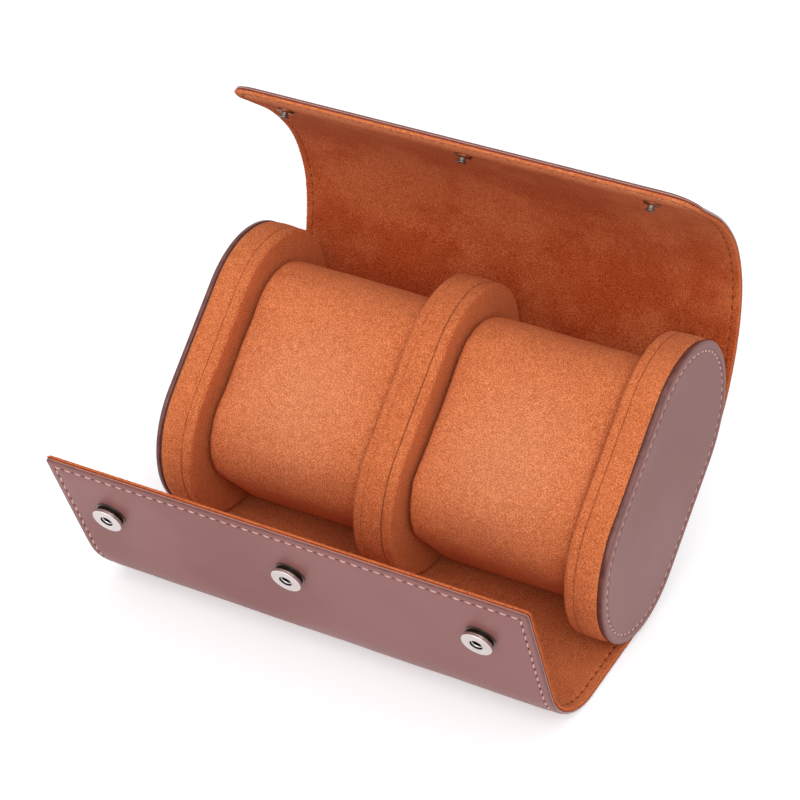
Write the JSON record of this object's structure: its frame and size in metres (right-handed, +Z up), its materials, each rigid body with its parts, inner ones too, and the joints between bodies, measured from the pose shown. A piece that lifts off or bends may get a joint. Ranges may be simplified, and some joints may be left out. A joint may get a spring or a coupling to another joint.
{
  "type": "watch travel case",
  "caption": "Leather travel roll for watches with suede-lined bays, lift-out cushions, a divider, a wrap-over lid and a front flap closed by snaps.",
  "frame": {"origin": "on the floor plane, midway along the case, straight below the axis of the walls' lower round; the flat underside of the back leather lies there", "axes": "+X along the case to the right end seen from the open front, +Y to the back, +Z up"},
  "size_m": [0.159, 0.1493, 0.1418],
  "materials": {
    "leather": "satin",
    "suede": "matte",
    "board": "matte",
    "nickel": "polished"
  },
  "bodies": {
    "case": {"back_leather": "leather", "back_lining": "suede", "left_end_leather": "leather", "right_end_leather": "leather", "left_end_board": "board", "right_end_board": "board", "left_pad_band": "suede", "right_pad_band": "suede", "left_pad_face": "suede", "right_pad_face": "suede", "divider_band": "suede", "divider_left_face": "suede", "divider_right_face": "suede"},
    "left_cushion": {"left_cushion": "suede"},
    "right_cushion": {"right_cushion": "suede"},
    "flap_root": {"flap_root_leather": "leather", "flap_root_lining": "suede"},
    "flap_floor": {"flap_floor_leather": "leather", "flap_floor_lining": "suede"},
    "flap_bend": {"flap_bend_leather": "leather", "flap_bend_lining": "suede"},
    "flap_front": {"flap_front_leather": "leather", "flap_front_lining": "suede", "snap_sockets": "nickel", "snap_springs": "nickel", "snap_rivets": "nickel"},
    "lid_root": {"lid_root_leather": "leather", "lid_root_lining": "suede"},
    "lid_lower": {"lid_lower_leather": "leather", "lid_lower_lining": "suede"},
    "lid_middle": {"lid_middle_leather": "leather", "lid_middle_lining": "suede"},
    "lid_upper": {"lid_upper_leather": "leather", "lid_upper_lining": "suede"},
    "lid_edge": {"lid_edge_leather": "leather", "lid_edge_lining": "suede", "snap_studs": "nickel", "snap_caps": "nickel"}
  },
  "joints": [
    {"name": "flap_close", "type": "hinge", "parent": "case", "child": "flap_root", "pos_m": [0, -0.007, 0.0025], "axis": [1, 0, 0], "range_deg": [-22.5, 0]},
    {"name": "flap_floor_fold", "type": "hinge", "parent": "flap_root", "child": "flap_floor", "pos_m": [0, -0.022, 0.0025], "axis": [1, 0, 0], "range_deg": [-36.31, 0.01]},
    {"name": "flap_bend_fold", "type": "hinge", "parent": "flap_floor", "child": "flap_bend", "pos_m": [0, -0.037, 0.0025], "axis": [1, 0, 0], "range_deg": [-5.61, 0.01]},
    {"name": "flap_front_fold", "type": "hinge", "parent": "flap_bend", "child": "flap_front", "pos_m": [0, -0.06177, 0.01828], "axis": [1, 0, 0], "range_deg": [-4.3, 15]},
    {"name": "lid_close", "type": "hinge", "parent": "case", "child": "lid_root", "pos_m": [0, 0.05404, 0.04693], "axis": [-1, 0, 0], "range_deg": [-16.6, 12]},
    {"name": "lid_lower_fold", "type": "hinge", "parent": "lid_root", "child": "lid_lower", "pos_m": [0, 0.06251, 0.06763], "axis": [-1, 0, 0], "range_deg": [-26.71, 19.31]},
    {"name": "lid_middle_fold", "type": "hinge", "parent": "lid_lower", "child": "lid_middle", "pos_m": [0, 0.06339, 0.08999], "axis": [-1, 0, 0], "range_deg": [-14.01, 10.13]},
    {"name": "lid_upper_fold", "type": "hinge", "parent": "lid_middle", "child": "lid_upper", "pos_m": [0, 0.05466, 0.11055], "axis": [-1, 0, 0], "range_deg": [-1.76, 1.27]},
    {"name": "lid_edge_fold", "type": "hinge", "parent": "lid_upper", "child": "lid_edge", "pos_m": [0, 0.03827, 0.12584], "axis": [-1, 0, 0], "range_deg": [-19.5, 20]},
    {"name": "left_cushion_lift", "type": "slide", "parent": "case", "child": "left_cushion", "axis": [0, -0.7193, 0.6947], "range_m": [0, 0.07]},
    {"name": "right_cushion_lift", "type": "slide", "parent": "case", "child": "right_cushion", "axis": [0, -0.7193, 0.6947], "range_m": [0, 0.07]}
  ],
  "couplings": [
    {"joint": "flap_floor_fold", "follows": "flap_close", "ratio": 1.6133},
    {"joint": "flap_bend_fold", "follows": "flap_close", "ratio": 0.24889},
    {"joint": "lid_lower_fold", "follows": "lid_close", "ratio": 1.6084},
    {"joint": "lid_middle_fold", "follows": "lid_close", "ratio": 0.84337},
    {"joint": "lid_upper_fold", "follows": "lid_close", "ratio": 0.10542}
  ]
}
